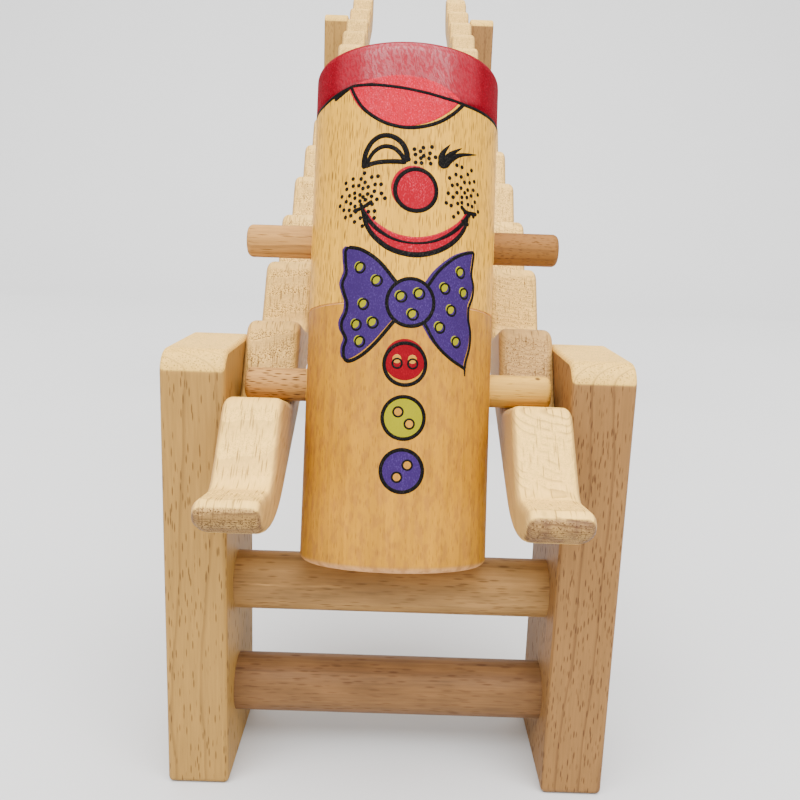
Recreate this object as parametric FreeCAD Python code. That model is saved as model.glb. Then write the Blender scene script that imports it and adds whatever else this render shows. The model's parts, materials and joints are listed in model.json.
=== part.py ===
import FreeCAD, Part
import math
import os

# Wooden flip clown toy: a peg-armed clown that tumbles down two notched rails on a four-post stand.
# Millimetres. X runs across the toy, +Y runs up the track towards the back, +Z is up.
# The model is built with Y = 0 at the front face of the front posts and is centred on its base at the end.

# Posts
POST_WIDTH = 15.2
POST_DEPTH = 37.5
FRONT_POST_HEIGHT = 111.0
POST_SPACING = 400.0
POST_TOP_ROUND = 5.5
POST_FOOT_ROUND = 1.6
POST_EDGE_ROUND = 1.2

# Track
RAIL_THICKNESS = 14.0
RAIL_STRIP_UNDER_VALLEYS = 9.6
RAIL_SLOPE = 23.0
RAIL_EDGE_ROUND = 2.2
RAIL_END_TOP_ROUND = 3.0
RAIL_END_SWEEP = 33.0
RAIL_FRONT_TAIL = 0.6
RAIL_REAR_TAIL = 13.0
NOSE_LINE_BELOW_FRONT_POST = 1.0
NOSE_LINE_ABOVE_REAR_POST = 7.0
LAST_NOSE_PAST_REAR_POST = 20.0

# Steps of the track
STEP_PITCH = 35.5
NOSE_RADIUS = 5.0
VALLEY_ROOM_ROUND_PEG = 1.5
LEDGE_ANGLE = 38.0
RISER_ANGLE = 36.0
LOWEST_LEDGE_ANGLE = 31.0
LOWEST_RISER_ANGLE = 24.0
FIRST_NOSE_BEFORE_POST_CENTRE = 24.2

# Crossbars between the posts
CROSSBAR_DIAMETER = 14.8
CROSSBAR_SOCKET = 8.0
CROSSBAR_SETBACK = 15.3
LOWER_CROSSBAR_BELOW_MIDDLE = 4.2
REAR_UPPER_CROSSBAR_BELOW_TOP = 55.0

# Dowel pins that fix each rail to its posts
PIN_DIAMETER = 5.0
PIN_IN_RAIL = 9.0
PIN_IN_POST = 9.0
PIN_SPREAD = 20.0
PIN_END_GAP = 0.4

# Clown
BODY_DIAMETER = 45.0
BODY_LENGTH = 120.0
HEAD_END_ROUND = 3.0
FOOT_END_ROUND = 1.9
BODY_SEAM_BEVEL = 0.25
BODY_SIDE_GAP = 3.3
PEG_DIAMETER = 8.0
PEG_END_ROUND = 1.4
PEG_HOLE_GAP = 0.3
PEG_HOLE_WALL = 3.0
ARM_PEG_SET_IN = 1.4
LEG_PEG_SET_IN = 2.4

# Steel ball inside the clown
BALL_DIAMETER = 22.0
BALL_CLEARANCE = 0.1
BALL_END_GAP = 0.1
END_WALL = 10.0

# Gaps at rest between the clown and the stand
SEAT_GAP = 0.2
LEAN_GAP = 0.3
HANGING_FOOT_GAP = 2.2

# Values worked out from the sizes above
SLOPE = math.radians(RAIL_SLOPE)
BODY_RADIUS = BODY_DIAMETER / 2
PEG_RADIUS = PEG_DIAMETER / 2
PEG_SPACING = STEP_PITCH
POST_INNER_X = BODY_RADIUS + BODY_SIDE_GAP + RAIL_THICKNESS
ARM_REACH = POST_INNER_X - ARM_PEG_SET_IN
LEG_REACH = POST_INNER_X - LEG_PEG_SET_IN
VALLEY_RADIUS = PEG_RADIUS + VALLEY_ROOM_ROUND_PEG
FRONT_POST_Y = POST_DEPTH / 2
REAR_POST_Y = FRONT_POST_Y + POST_SPACING
NOSE_LINE_Z = FRONT_POST_HEIGHT - NOSE_LINE_BELOW_FRONT_POST
REAR_POST_HEIGHT = NOSE_LINE_Z + POST_SPACING * math.tan(SLOPE) - NOSE_LINE_ABOVE_REAR_POST
BORE_RADIUS = BALL_DIAMETER / 2 + BALL_CLEARANCE
BORE_HALF_LENGTH = BODY_LENGTH / 2 - END_WALL
PEG_START = BORE_RADIUS + PEG_HOLE_WALL + PEG_HOLE_GAP
FOOT_LENGTH = (BODY_LENGTH - PEG_SPACING) / 2

X_AXIS = FreeCAD.Vector(1, 0, 0)
Y_AXIS = FreeCAD.Vector(0, 1, 0)
Z_AXIS = FreeCAD.Vector(0, 0, 1)
ORIGIN = FreeCAD.Vector(0, 0, 0)


def line_intersection(point_a, slope_a, point_b, slope_b):
    """Crossing of two lines in the rail's plane, each given by a point and a slope."""
    along = (point_b[1] - point_a[1] + slope_a * point_a[0] - slope_b * point_b[0]) / (slope_a - slope_b)
    return along, point_a[1] + slope_a * (along - point_a[0])


def step_geometry(ledge_angle, riser_angle):
    """Arc centres of one step, measured from the top of its nose: (nose centre, valley centre)."""
    ledge = math.tan(math.radians(ledge_angle))
    riser = math.tan(math.radians(riser_angle))
    rise = STEP_PITCH / (1 / ledge + 1 / riser)
    # Lines parallel to the ledge and the riser cross at the centres of the arcs between them.
    nose = line_intersection((0, -NOSE_RADIUS * math.hypot(1, ledge)), -ledge,
                             (0, -NOSE_RADIUS * math.hypot(1, riser)), riser)
    sharp_valley = (rise / ledge, -rise)
    valley = line_intersection(
        (sharp_valley[0], sharp_valley[1] + VALLEY_RADIUS * math.hypot(1, ledge)), -ledge,
        (sharp_valley[0], sharp_valley[1] + VALLEY_RADIUS * math.hypot(1, riser)), riser)
    top = nose[1] + NOSE_RADIUS
    return (0.0, -NOSE_RADIUS), (valley[0] - nose[0], valley[1] - top)


NOSE_CENTRE, VALLEY_CENTRE = step_geometry(LEDGE_ANGLE, RISER_ANGLE)
LOWEST_VALLEY_CENTRE = step_geometry(LOWEST_LEDGE_ANGLE, LOWEST_RISER_ANGLE)[1]
VALLEY_DEPTH = VALLEY_RADIUS - VALLEY_CENTRE[1]
RAIL_DEPTH = VALLEY_DEPTH + RAIL_STRIP_UNDER_VALLEYS
FIRST_NOSE_ALONG = -FIRST_NOSE_BEFORE_POST_CENTRE
TRACK_RUN = POST_SPACING / math.cos(SLOPE) + LAST_NOSE_PAST_REAR_POST - FIRST_NOSE_ALONG
NOSE_COUNT = 2 + math.ceil(TRACK_RUN / STEP_PITCH)


def rail_point(along, above, x=0.0):
    """World point from the distance along the nose line and the height square to it."""
    return FreeCAD.Vector(
        x,
        FRONT_POST_Y + along * math.cos(SLOPE) - above * math.sin(SLOPE),
        NOSE_LINE_Z + along * math.sin(SLOPE) + above * math.cos(SLOPE))


def nose_along(index):
    """Distance along the nose line of the nose with this index; 0 is the lowest one."""
    return FIRST_NOSE_ALONG + (index - 1) * STEP_PITCH


def arc_through(centre, radius, start, end):
    """Three points of an arc of the rail outline, at angles in degrees in the rail's plane."""
    angles = (start, (start + end) / 2, end)
    return [(centre[0] + radius * math.cos(math.radians(a)), centre[1] + radius * math.sin(math.radians(a)))
            for a in angles]


def rail_end_arcs(drop, last):
    """Arcs of a rail's low end seen from the end's own foremost point: underside sweep, then top round.

    The sweep is tangent to the underside, and the top round lies inside it and touches it. The top
    round lies this drop under the nose line and its arc ends at the last angle.
    """
    top, sweep = RAIL_END_TOP_ROUND, RAIL_END_SWEEP
    rise = sweep - RAIL_DEPTH + top + drop
    join = math.degrees(math.asin(rise / (sweep - top)))
    sweep_centre = (top + math.sqrt((sweep - top) ** 2 - rise ** 2), sweep - RAIL_DEPTH)
    return [arc_through(sweep_centre, sweep, 270, 180 + join),
            arc_through((top, -top - drop), top, 180 + join, last)]


def front_end_drop():
    """How far the front end's top round lies under the nose line, where it is tangent to the first ledge."""
    ledge = math.radians(LOWEST_LEDGE_ANGLE)
    past_nose = RAIL_END_TOP_ROUND - RAIL_FRONT_TAIL
    sunk = (NOSE_RADIUS - RAIL_END_TOP_ROUND) * (1 - math.cos(ledge))
    return sunk + math.tan(ledge) * (past_nose - (NOSE_RADIUS - RAIL_END_TOP_ROUND) * math.sin(ledge))


def rail_outline():
    """Closed outline of a rail as a list of arcs; straight runs join each arc to the next.

    The lowest step is shallower than the others, and no nose arc is needed at its front end.
    """
    front = nose_along(0) - RAIL_FRONT_TAIL
    rear = nose_along(NOSE_COUNT - 1) + RAIL_REAR_TAIL
    arcs = [[(front + along, above) for along, above in arc]
            for arc in rail_end_arcs(front_end_drop(), 90 - LOWEST_LEDGE_ANGLE)]
    for index in range(NOSE_COUNT - 1):
        ledge, riser, dip = LEDGE_ANGLE, RISER_ANGLE, VALLEY_CENTRE
        if index == 0:
            ledge, riser, dip = LOWEST_LEDGE_ANGLE, LOWEST_RISER_ANGLE, LOWEST_VALLEY_CENTRE
        valley = (nose_along(index) + dip[0], dip[1])
        arcs.append(arc_through(valley, VALLEY_RADIUS, 270 - ledge, 270 + riser))
        next_nose = (nose_along(index + 1), NOSE_CENTRE[1])
        last = 90 if index == NOSE_COUNT - 2 else 90 - LEDGE_ANGLE
        arcs.append(arc_through(next_nose, NOSE_RADIUS, 90 + riser, last))
    # The high end is a low end turned about, so its arcs come in the opposite order.
    arcs += [[(rear - along, above) for along, above in reversed(arc)] for arc in reversed(rail_end_arcs(0.0, 90))]
    return arcs


def closed_wire(arcs, place):
    """Wire of the arcs and the straight runs between them, each point placed by the function."""
    edges = []
    for number, arc in enumerate(arcs):
        start, middle, end = [place(*point) for point in arc]
        edges.append(Part.Arc(start, middle, end).toShape())
        following = place(*arcs[(number + 1) % len(arcs)][0])
        if end.distanceToPoint(following) > 1e-6:
            edges.append(Part.LineSegment(end, following).toShape())
    return Part.Wire(Part.__sortEdges__(edges))


def side_edges(solid, axis, places):
    """Edges that lie whole in a plane square to the axis at one of the places."""
    found = []
    for edge in solid.Edges:
        low = getattr(edge.BoundBox, axis + "Min")
        high = getattr(edge.BoundBox, axis + "Max")
        if high - low < 1e-4 and any(abs(low - place) < 1e-4 for place in places):
            found.append(edge)
    return found


def cylinder(radius, length, centre_start, direction):
    return Part.makeCylinder(radius, length, centre_start, direction)


def pin_places(post_y):
    """Y and Z of the two pins of a post: in the rail's solid strip, spread about the post's middle."""
    drop = (VALLEY_DEPTH + RAIL_DEPTH) / 2 / math.cos(SLOPE)
    places = []
    for side in (-1, 1):
        y = post_y + side * PIN_SPREAD / 2
        z = NOSE_LINE_Z + (y - FRONT_POST_Y) * math.tan(SLOPE) - drop
        places.append((y, z))
    return places


def leg_axis_place():
    """Y and Z of the leg pegs' axis: the pegs lie in the lowest dip of the notch above the first nose."""
    centre = rail_point(nose_along(1) + VALLEY_CENTRE[0], VALLEY_CENTRE[1])
    drop = VALLEY_RADIUS - PEG_RADIUS - SEAT_GAP
    return centre.y, centre.z - drop


def crossbar_places(post_y):
    """Y and heights of the lower and upper crossbar of a pair of posts.

    The front upper one passes just under the clown's foot end where it hangs straight down.
    """
    y = post_y - POST_DEPTH / 2 + CROSSBAR_SETBACK
    front_upper = leg_axis_place()[1] - FOOT_LENGTH - HANGING_FOOT_GAP - CROSSBAR_DIAMETER / 2
    lower = front_upper / 2 - LOWER_CROSSBAR_BELOW_MIDDLE
    if post_y == FRONT_POST_Y:
        return [(y, lower), (y, front_upper)]
    return [(y, lower), (y, REAR_POST_HEIGHT - REAR_UPPER_CROSSBAR_BELOW_TOP)]


def make_post(side, post_y, height):
    """Post with rounded top, sockets for two crossbars and holes for two rail pins."""
    inner = side * POST_INNER_X
    front, back = post_y - POST_DEPTH / 2, post_y + POST_DEPTH / 2
    top, foot = POST_TOP_ROUND, POST_FOOT_ROUND
    arcs = [
        arc_through((front + foot, foot), foot, 270, 180),
        arc_through((front + top, height - top), top, 180, 90),
        arc_through((back - top, height - top), top, 90, 0),
        arc_through((back - foot, foot), foot, 0, -90)]
    low_x = min(inner, inner + side * POST_WIDTH)
    outline = closed_wire(arcs, lambda y, z: FreeCAD.Vector(low_x, y, z))
    post = Part.Face(outline).extrude(X_AXIS * POST_WIDTH)
    edges = side_edges(post, "X", (low_x, low_x + POST_WIDTH))
    post = post.makeFillet(POST_EDGE_ROUND, edges)
    for y, z in crossbar_places(post_y):
        start = FreeCAD.Vector(inner, y, z)
        post = post.cut(cylinder(CROSSBAR_DIAMETER / 2, CROSSBAR_SOCKET, start, X_AXIS * side))
    for y, z in pin_places(post_y):
        start = FreeCAD.Vector(inner, y, z)
        post = post.cut(cylinder(PIN_DIAMETER / 2, PIN_IN_POST + PIN_END_GAP, start, X_AXIS * side))
    return post


def make_rail(side):
    """Notched rail against the inner faces of its two posts, with blind holes for their pins."""
    outer = side * POST_INNER_X
    low_x = min(outer, outer - side * RAIL_THICKNESS)
    outline = closed_wire(rail_outline(), lambda along, above: rail_point(along, above, low_x))
    rail = Part.Face(outline).extrude(X_AXIS * RAIL_THICKNESS)
    edges = side_edges(rail, "X", (low_x, low_x + RAIL_THICKNESS))
    rail = rail.makeFillet(RAIL_EDGE_ROUND, edges)
    for post_y in (FRONT_POST_Y, REAR_POST_Y):
        for y, z in pin_places(post_y):
            start = FreeCAD.Vector(outer, y, z)
            rail = rail.cut(cylinder(PIN_DIAMETER / 2, PIN_IN_RAIL + PIN_END_GAP, start, X_AXIS * -side))
    return rail


def make_crossbar(y, z):
    """Round bar whose ends sit in the sockets of the two posts."""
    reach = POST_INNER_X + CROSSBAR_SOCKET
    return cylinder(CROSSBAR_DIAMETER / 2, 2 * reach, FreeCAD.Vector(-reach, y, z), X_AXIS)


def make_rail_pins(side, post_y):
    """The two dowel pins between one post and its rail, as separate solids."""
    pins = []
    for y, z in pin_places(post_y):
        start = FreeCAD.Vector(side * (POST_INNER_X - PIN_IN_RAIL), y, z)
        pins.append(cylinder(PIN_DIAMETER / 2, PIN_IN_RAIL + PIN_IN_POST, start, X_AXIS * side))
    return Part.makeCompound(pins)


def lean_limits():
    """Leans in degrees, backward then forward, at which the clown's foot end comes to the crossbar."""
    leg_y, leg_z = leg_axis_place()
    bar_y, bar_z = crossbar_places(FRONT_POST_Y)[1]
    apart = math.hypot(bar_y - leg_y, leg_z - bar_z)
    offset = math.atan2(bar_y - leg_y, leg_z - bar_z)
    reach = math.acos((FOOT_LENGTH + CROSSBAR_DIAMETER / 2 + LEAN_GAP) / apart)
    return math.degrees(reach - offset), math.degrees(reach + offset)


def place_on_track(shape):
    """Lean a piece made about the clown's middle and carry it to the leg pegs' notch."""
    leg_y, leg_z = leg_axis_place()
    placed = shape.copy()
    placed.translate(Z_AXIS * (PEG_SPACING / 2))
    placed.rotate(ORIGIN, X_AXIS, -lean_limits()[0])
    placed.translate(FreeCAD.Vector(0, leg_y, leg_z))
    return placed


def make_body_half(end):
    """Half of the clown's body: end +1 is the head half, -1 the foot half."""
    half = BODY_LENGTH / 2
    solid = cylinder(BODY_RADIUS, half, ORIGIN, Z_AXIS * end)
    end_round = HEAD_END_ROUND if end > 0 else FOOT_END_ROUND
    solid = solid.makeFillet(end_round, side_edges(solid, "Z", (end * half,)))
    rim = [edge for edge in side_edges(solid, "Z", (0.0,)) if edge.Length > math.pi * BODY_RADIUS]
    solid = solid.makeChamfer(BODY_SEAM_BEVEL, rim)
    solid = solid.cut(cylinder(BORE_RADIUS, BORE_HALF_LENGTH, ORIGIN, Z_AXIS * end))
    for side in (-1, 1):
        start = FreeCAD.Vector(side * (PEG_START - PEG_HOLE_GAP), 0, end * PEG_SPACING / 2)
        solid = solid.cut(cylinder(PEG_RADIUS, BODY_RADIUS, start, X_AXIS * side))
    return place_on_track(solid)


def make_peg(side, end):
    """Arm or leg peg, glued in a blind hole that stops short of the ball's bore."""
    reach = ARM_REACH if end > 0 else LEG_REACH
    start = FreeCAD.Vector(side * PEG_START, 0, end * PEG_SPACING / 2)
    peg = cylinder(PEG_RADIUS, reach - PEG_START, start, X_AXIS * side)
    peg = peg.makeFillet(PEG_END_ROUND, side_edges(peg, "X", (side * reach,)))
    return place_on_track(peg)


def make_ball():
    """Steel ball at the foot end of the clown's bore."""
    height = -(BORE_HALF_LENGTH - BALL_DIAMETER / 2 - BALL_END_GAP)
    return place_on_track(Part.makeSphere(BALL_DIAMETER / 2, FreeCAD.Vector(0, 0, height)))


def build_stand():
    pieces = {}
    sides = {"left": -1, "right": 1}
    posts = {"front": (FRONT_POST_Y, FRONT_POST_HEIGHT), "rear": (REAR_POST_Y, REAR_POST_HEIGHT)}
    for side_name, side in sides.items():
        pieces[side_name + "_rail"] = make_rail(side)
        for row, (post_y, height) in posts.items():
            pieces[f"{row}_{side_name}_post"] = make_post(side, post_y, height)
            pieces[f"{row}_{side_name}_rail_pins"] = make_rail_pins(side, post_y)
    for row, (post_y, height) in posts.items():
        for level, (y, z) in zip(("lower", "upper"), crossbar_places(post_y)):
            pieces[f"{row}_{level}_crossbar"] = make_crossbar(y, z)
    return pieces


def build_clown():
    pieces = {"body_upper_half": make_body_half(1), "body_lower_half": make_body_half(-1)}
    for side_name, side in (("left", -1), ("right", 1)):
        pieces[side_name + "_arm_peg"] = make_peg(side, 1)
        pieces[side_name + "_leg_peg"] = make_peg(side, -1)
    pieces["steel_ball"] = make_ball()
    return pieces


def centre_shift(pieces):
    """Move that puts the middle of the base at the origin."""
    box = FreeCAD.BoundBox()
    for shape in pieces.values():
        box.add(shape.BoundBox)
    return FreeCAD.Vector(-box.Center.x, -box.Center.y, -box.ZMin)


def main():
    os.makedirs("parts", exist_ok=True)
    pieces = build_stand()
    shift = centre_shift(pieces)
    pieces.update(build_clown())
    for name, shape in pieces.items():
        shape.translate(shift)
        shape.exportStep(f"parts/{name}.step")
    leg_y, leg_z = leg_axis_place()
    back, forward = lean_limits()
    print("pieces", len(pieces), "noses", NOSE_COUNT)
    print("shift", round(shift.y, 4), round(shift.z, 4))
    print("leg axis y, z", round(leg_y + shift.y, 4), round(leg_z + shift.z, 4))
    print("lean back and forward, degrees", round(back, 4), round(forward, 4))
    print("ball travel", round(2 * (BORE_HALF_LENGTH - BALL_DIAMETER / 2 - BALL_END_GAP), 4))
    print("valley depth", round(VALLEY_DEPTH, 3), "rear post height", round(REAR_POST_HEIGHT, 3))
    for post_y in (FRONT_POST_Y, REAR_POST_Y):
        print("crossbars", [(round(y + shift.y, 3), round(z, 3)) for y, z in crossbar_places(post_y)])


main()
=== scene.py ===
"""Looks of a wooden tumbling clown on its notched track: beech, a printed face and clothes, and a stage."""

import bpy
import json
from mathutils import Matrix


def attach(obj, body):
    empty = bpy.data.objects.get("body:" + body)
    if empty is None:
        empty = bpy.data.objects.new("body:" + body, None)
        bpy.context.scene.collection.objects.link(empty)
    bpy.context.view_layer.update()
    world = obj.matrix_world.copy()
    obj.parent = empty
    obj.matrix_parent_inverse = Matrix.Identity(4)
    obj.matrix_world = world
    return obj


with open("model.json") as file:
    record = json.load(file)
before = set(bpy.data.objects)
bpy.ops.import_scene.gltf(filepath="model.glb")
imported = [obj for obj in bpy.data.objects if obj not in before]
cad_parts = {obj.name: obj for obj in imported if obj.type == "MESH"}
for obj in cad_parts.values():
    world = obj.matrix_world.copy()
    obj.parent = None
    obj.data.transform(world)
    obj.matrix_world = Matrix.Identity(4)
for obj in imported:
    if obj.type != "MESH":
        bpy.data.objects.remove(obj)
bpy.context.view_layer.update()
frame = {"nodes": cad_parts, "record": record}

import json
import math

import bmesh
import bpy
import numpy as np
from bpy.props import FloatProperty, FloatVectorProperty, PointerProperty
from mathutils import Matrix, Vector

bl_info = {
    "name": "Tumbling Clown Toy",
    "version": (1, 0, 0),
    "blender": (4, 5, 0),
    "location": "View3D > Sidebar > Clown Toy",
    "description": "Finishes the woods of a tumbling clown toy and prints its face and clothes",
    "category": "Object",
}

MM = 0.001

# The clown's own axes at rest: up along the body, side to the picture's right, front out of its face
JOINTS = {joint["name"]: joint for joint in frame["record"]["behaviour"]["joints"]}
UP = np.array(JOINTS["ball_run"]["axis"]) / np.linalg.norm(JOINTS["ball_run"]["axis"])
SIDE = np.array((1.0, 0.0, 0.0))
FRONT = np.cross(SIDE, UP)
BODY_AXES = (SIDE, FRONT, UP)
PEG_SPACING = 35.5 * MM
MIDDLE = np.array(JOINTS["clown_swing"]["pos_m"]) + UP * PEG_SPACING / 2
BODY_RADIUS = 22.5 * MM
BODY_HALF_LENGTH = 60.0 * MM
HEAD_ROUND = 3.0 * MM
PEG_RADIUS = 4.0 * MM

# Directions of the rails' grain: along the slope, and square to it in the rail's own plane
SLOPE = math.radians(23.0)
RAIL_ALONG = np.array((0.0, math.cos(SLOPE), math.sin(SLOPE)))
RAIL_ABOVE = np.array((0.0, -math.sin(SLOPE), math.cos(SLOPE)))
ACROSS = np.array((1.0, 0.0, 0.0))
DEPTH = np.array((0.0, 1.0, 0.0))
HEIGHT = np.array((0.0, 0.0, 1.0))


def shade(red, green, blue):
    """Linear colour of a screen colour given as three numbers up to 255."""
    screen = np.array((red, green, blue)) / 255
    linear = np.where(screen <= 0.04045, screen / 12.92, ((screen + 0.055) / 1.055) ** 2.4)
    return tuple(float(value) for value in linear)


def colour_property(name, description, default):
    return FloatVectorProperty(name=name, description=description, default=default, subtype="COLOR",
                               size=3, min=0.0, max=1.0)


def length_property(name, description, millimetres):
    return FloatProperty(name=name, description=description, default=millimetres * MM, min=0.0,
                         unit="LENGTH", subtype="DISTANCE", precision=5)


class WoodColours(bpy.types.PropertyGroup):
    """Colours of the beech pieces."""
    left_post: colour_property("Left posts", "Side grain of the two left posts", shade(158, 120, 59))
    right_post: colour_property("Right posts", "Side grain of the two right posts", shade(136, 98, 54))
    left_rail: colour_property("Left rail", "Side grain of the left rail", shade(190, 148, 84))
    right_rail: colour_property("Right rail", "Side grain of the right rail", shade(190, 150, 84))
    crossbar: colour_property("Crossbars", "Side grain of the round bars", shade(160, 121, 70))
    upper_body: colour_property("Upper body", "Side grain of the head half", shade(214, 157, 34))
    lower_body: colour_property("Lower body", "Side grain of the foot half", shade(178, 123, 19))
    body_edge: colour_property("Body flanks", "Deeper colour of the lower body's flanks", shade(146, 95, 40))
    # Darker than the upper bars as painted shade: the lower bars lie in the shade under the rails and the clown.
    lower_crossbar: colour_property("Lower crossbars", "Colour of the two lower round bars", shade(118, 84, 50))
    orange_peg: colour_property("Orange peg", "Colour of the right arm peg", shade(134, 89, 38))
    brown_peg: colour_property("Brown pegs", "Side grain of the two left pegs", shade(177, 129, 67))
    pale_peg: colour_property("Pale peg", "Side grain of the right leg peg", shade(209, 160, 67))
    # Lighter than the posts' sides partly as end grain and partly as painted light on the tops, which the light
    # from above falls on.
    post_top: colour_property("Post tops", "End grain on the rounded tops of the posts", shade(231, 184, 88))
    # Paler than the rails' sides partly as the cut wood's own tone and partly as painted light on the lit notch
    # faces.
    rail_step: colour_property("Rail steps", "Sloping cuts of the rails' notches", shade(250, 200, 100))
    # Darker partly as end grain and partly as painted shade on the rails' down-turned tips.
    rail_tip: colour_property("Rail tips", "End grain at the rails' low ends", shade(122, 90, 59))
    foot_end: colour_property("Foot end", "Rounded rim and flat end of the foot", shade(200, 146, 92))
    fleck: colour_property("Flecks", "Small dark rays in the wood", shade(66, 36, 20))


class PaintColours(bpy.types.PropertyGroup):
    """Colours of the paint and the printing ink."""
    cap_red: colour_property("Cap red", "Paint of the cap", shade(117, 0, 18))
    # Brighter than the cap red partly as the visor's own lighter print and partly as a painted highlight on it.
    visor_red: colour_property("Visor red", "Paint of the cap's visor", shade(178, 0, 33))
    deep_red: colour_property("Deep red", "Ink of the top button", shade(116, 0, 16))
    print_red: colour_property("Print red", "Ink of nose and lips", shade(146, 0, 26))
    purple: colour_property("Purple", "Ink of the bow tie and the lowest button", shade(49, 28, 82))
    yellow: colour_property("Yellow", "Ink of the dots and the middle button", shade(136, 131, 0))
    black: colour_property("Black", "Ink of all outlines", shade(9, 8, 8))


class PrintSizes(bpy.types.PropertyGroup):
    """Sizes of the printed picture on the clown."""
    fill_lift: length_property("Colour height", "How far a printed colour stands off the wood", 0.03)
    line_lift: length_property("Line height", "How far an outline stands off the wood", 0.07)
    cap_line_width: length_property("Cap line width", "Width that the lines round the cap are shares of", 1.0)
    print_offset: length_property("Print offset", "How far the picture sits to the right of the middle", 1.0)
    nose_radius: length_property("Nose radius", "Radius of the nose's outline", 4.7)
    knot_radius: length_property("Knot radius", "Radius of the bow tie's knot", 5.3)
    button_radius: length_property("Button radius", "Radius of a button's outline", 4.65)
    dot_radius: length_property("Dot radius", "Radius of the rings on the bow tie", 1.15)
    freckle_radius: length_property("Freckle radius", "Radius of one freckle", 0.47)
    collar_width: length_property("Collar width", "Width of the torn fibres where a peg enters the body", 0.5)


class StageSettings(bpy.types.PropertyGroup):
    """Floor, lights and camera."""
    floor_colour: colour_property("Floor", "Colour of the floor", (0.6, 0.6, 0.6))
    room_light: FloatProperty(name="Room", description="Strength of the even light from all sides", default=0.7)
    front_power: FloatProperty(name="Front light", description="Power of the soft light in front", default=560.0,
                               unit="POWER")
    top_power: FloatProperty(name="Top light", description="Power of the soft light above", default=190.0,
                             unit="POWER")
    focal_pixels: FloatProperty(name="Focal length", default=852.405,
                                description="Focal length in pixels of an 800 pixel wide picture")


class Socket:
    """One output of a finish's nodes. Arithmetic on it adds Math nodes."""

    def __init__(self, finish, output):
        self.finish = finish
        self.output = output

    def maths(self, operation, first, second=0.0):
        return self.finish.node("ShaderNodeMath", {"operation": operation}, {0: first, 1: second})

    def __add__(self, other):
        return self.maths("ADD", self, other)

    __radd__ = __add__

    def __sub__(self, other):
        return self.maths("SUBTRACT", self, other)

    def __rsub__(self, other):
        return self.maths("SUBTRACT", other, self)

    def __mul__(self, other):
        return self.maths("MULTIPLY", self, other)

    __rmul__ = __mul__

    def __abs__(self):
        return self.maths("ABSOLUTE", self)

    def fraction(self):
        return self.maths("FRACT", self)

    def step(self, low, high):
        """0 at low and 1 at high with a smooth step between; low may be the larger one."""
        return self.finish.node("ShaderNodeMapRange", {"interpolation_type": "SMOOTHSTEP"},
                                {"Value": self, "From Min": low, "From Max": high})

    def vector_maths(self, operation, inputs=(), output="Value"):
        return self.finish.node("ShaderNodeVectorMath", {"operation": operation}, {0: self, **dict(inputs)}, output)

    def along(self, direction):
        """Part of this vector along a fixed direction."""
        return self.vector_maths("DOT_PRODUCT", {1: tuple(direction)})

    def length(self):
        return self.vector_maths("LENGTH")

    def distance_to(self, point):
        return self.vector_maths("DISTANCE", {1: tuple(point)})

    def stretch(self, factor):
        """This colour or vector times a value."""
        return self.vector_maths("SCALE", {"Scale": factor}, "Vector")

    def spread(self):
        """The same value in all three parts of a vector."""
        return self.finish.vector(self, self, self)

    def part(self, name):
        """Red, Green or Blue of a colour."""
        return self.finish.node("ShaderNodeSeparateColor", (), {0: self}, name)


class Finish:
    """The nodes of a material, or of the world, and the one method that adds a node to them."""

    def __init__(self, name, world=False):
        self.owner = (bpy.data.worlds if world else bpy.data.materials).new(name)
        self.owner.use_nodes = True
        self.tree = self.owner.node_tree
        self.tree.nodes.clear()
        self.place = self.node("ShaderNodeTexCoord", output="Object")
        self.facing = self.node("ShaderNodeTexCoord", output="Normal")

    def node(self, kind, settings=(), inputs=(), output=0):
        """Adds a node: its settings are set first, then its sockets get values or links."""
        made = self.tree.nodes.new(kind)
        for key, value in dict(settings).items():
            setattr(made, key, value)
        for key, value in dict(inputs).items():
            socket = made.inputs[key]
            if isinstance(value, Socket):
                self.tree.links.new(value.output, socket)
            elif socket.type == "RGBA":
                socket.default_value = (*value[:3], 1.0)
            else:
                socket.default_value = value
        return Socket(self, made.outputs[output]) if len(made.outputs) else None

    def vector(self, x, y, z):
        return self.node("ShaderNodeCombineXYZ", (), {0: x, 1: y, 2: z})

    def cell_place(self, axes, sizes, shift=0.0):
        """Place in cells with the given sizes in millimetres along three axes, shifted along the first."""
        first, second, third = (self.place.along(axis / (size * MM)) for axis, size in zip(axes, sizes))
        return self.vector(first + shift, second, third)

    def mix(self, share, first, second):
        return self.node("ShaderNodeMix", {"data_type": "RGBA"}, {0: share, 6: first, 7: second}, 2)

    def noise(self, vector, detail=2.0):
        return self.node("ShaderNodeTexNoise", (), {"Vector": vector, "Scale": 1.0, "Detail": detail}, "Fac")

    def body_noise(self, around, along):
        """Noise in cells with the given sizes in millimetres round the clown's body and along it."""
        return self.noise(self.cell_place(BODY_AXES, (around, around, along)))

    def cells(self, vector, output="Distance"):
        return self.node("ShaderNodeTexVoronoi", (), {"Vector": vector, "Scale": 1.0}, output)

    def close(self, colour, roughness, height, bump_depth, constants=()):
        """Adds the shader and the output; the constants go straight to the shader's sockets."""
        normal = self.node("ShaderNodeBump", (), {"Height": height, "Strength": 1.0, "Distance": bump_depth},
                           "Normal")
        inputs = {"Base Color": colour, "Roughness": roughness, "Normal": normal, **dict(constants)}
        shader = self.node("ShaderNodeBsdfPrincipled", (), inputs)
        self.node("ShaderNodeOutputMaterial", (), {"Surface": shader})
        return self.owner


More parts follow.
